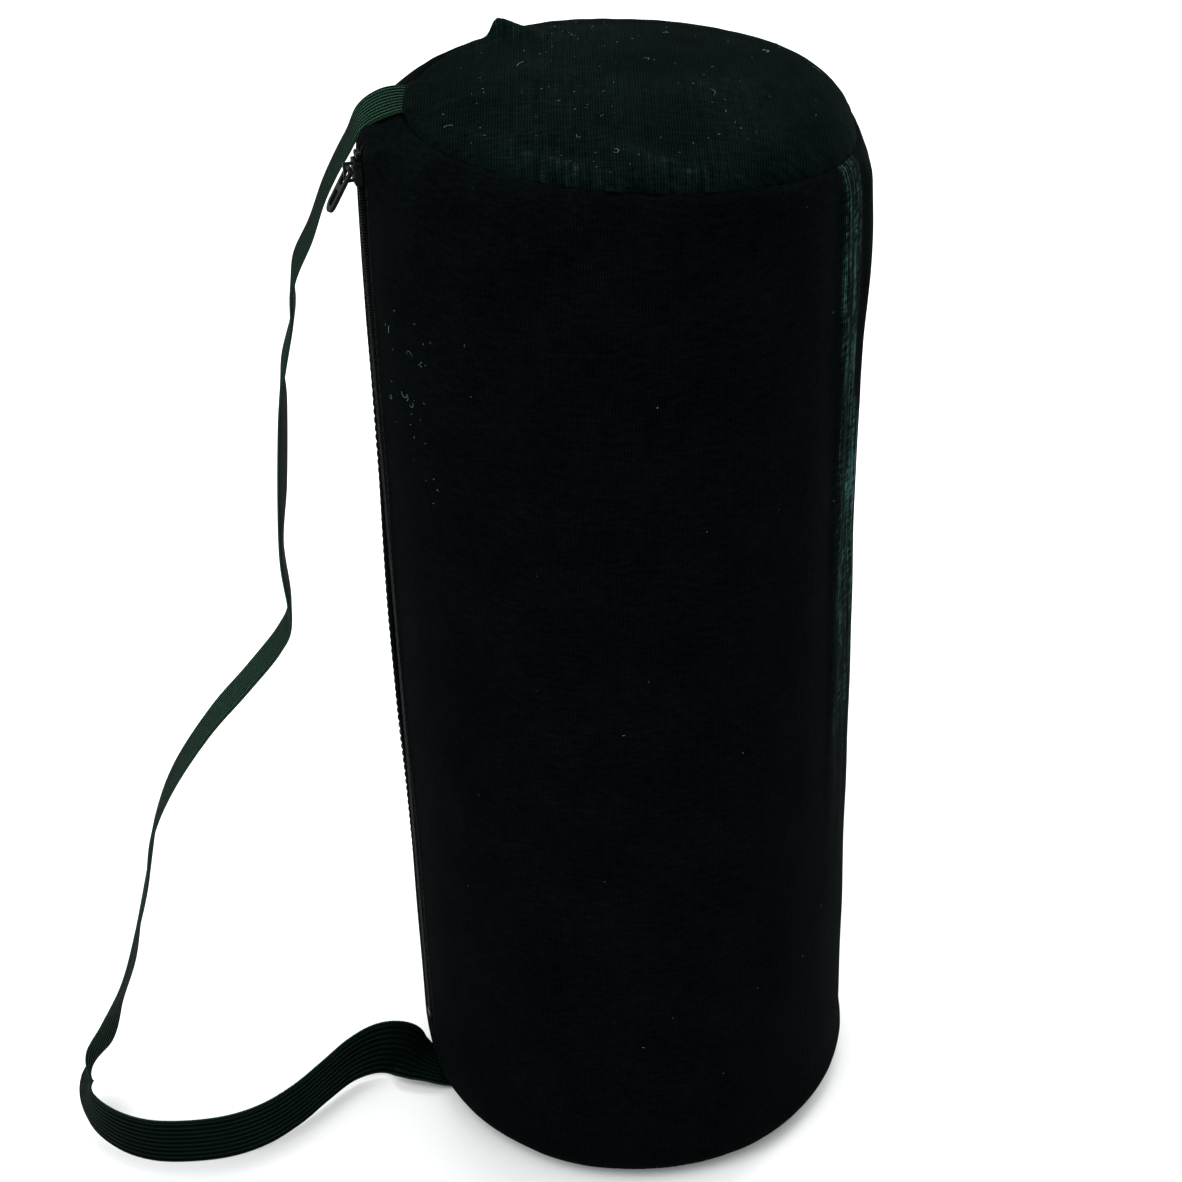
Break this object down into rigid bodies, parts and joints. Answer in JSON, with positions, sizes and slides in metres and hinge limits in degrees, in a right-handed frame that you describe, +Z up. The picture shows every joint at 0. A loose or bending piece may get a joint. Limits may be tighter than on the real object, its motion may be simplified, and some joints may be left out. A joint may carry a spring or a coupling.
{
  "type": "drum stick bag",
  "caption": "Upright padded fabric tube for drum sticks and mallets, with a side zip and a webbing shoulder strap.",
  "frame": {"origin": "middle of the underside of the base, on the surface the bag stands on", "axes": "+Z up along the tube, -Y towards the viewer of the picture, -X towards the strap side"},
  "size_m": [0.3472, 0.1898, 0.47],
  "materials": {
    "cover_fabric": "matte black ribbed jersey with a little lint",
    "lining_fabric": "plain black nylon lining",
    "foam": "closed-cell foam padding, dark grey",
    "binding_tape": "woven seam binding, black",
    "board": "fibre stiffener board",
    "webbing": "ribbed black webbing with a slight sheen",
    "zip_tape": "woven zip tape, black",
    "zip_coil": "nylon coil, black",
    "zip_metal": "black painted zinc"
  },
  "bodies": {
    "bag": {"base_cover": "cover_fabric", "base_board": "board", "base_foam": "foam", "base_lining": "lining_fabric", "base_seam_binding": "binding_tape", "wall_cover": "cover_fabric", "wall_foam": "foam", "wall_lining": "lining_fabric", "top_cover": "cover_fabric", "top_foam": "foam", "top_lining": "lining_fabric", "top_seam_binding": "binding_tape", "front_zip_top_stop": "zip_metal", "rear_zip_tape": "zip_tape", "rear_zip_coil": "zip_coil", "rear_zip_top_stop": "zip_metal", "zip_bottom_stop": "zip_metal", "shoulder_strap": "webbing"},
    "front_edge": {"front_edge_cover": "cover_fabric", "front_edge_foam": "foam", "front_edge_lining": "lining_fabric", "front_zip_tape": "zip_tape", "front_zip_coil": "zip_coil"},
    "slider": {"zip_slider": "zip_metal"},
    "pull": {"zip_pull": "zip_metal"}
  },
  "joints": [
    {"name": "front_edge_open", "type": "hinge", "parent": "bag", "child": "front_edge", "pos_m": [-0.073, -0.06126, 0.245], "axis": [0, 0, 1], "range_deg": [0, 60], "stiffness_Nm_per_rad": 0.1},
    {"name": "zip_slide", "type": "slide", "parent": "bag", "child": "slider", "axis": [0, 0, -1], "range_m": [0, 0.3895]},
    {"name": "pull_swing", "type": "hinge", "parent": "slider", "child": "pull", "pos_m": [-0.09411, -0.02698, 0.4465], "axis": [-0.2756, 0.9613, 0], "range_deg": [-30, 120]}
  ]
}
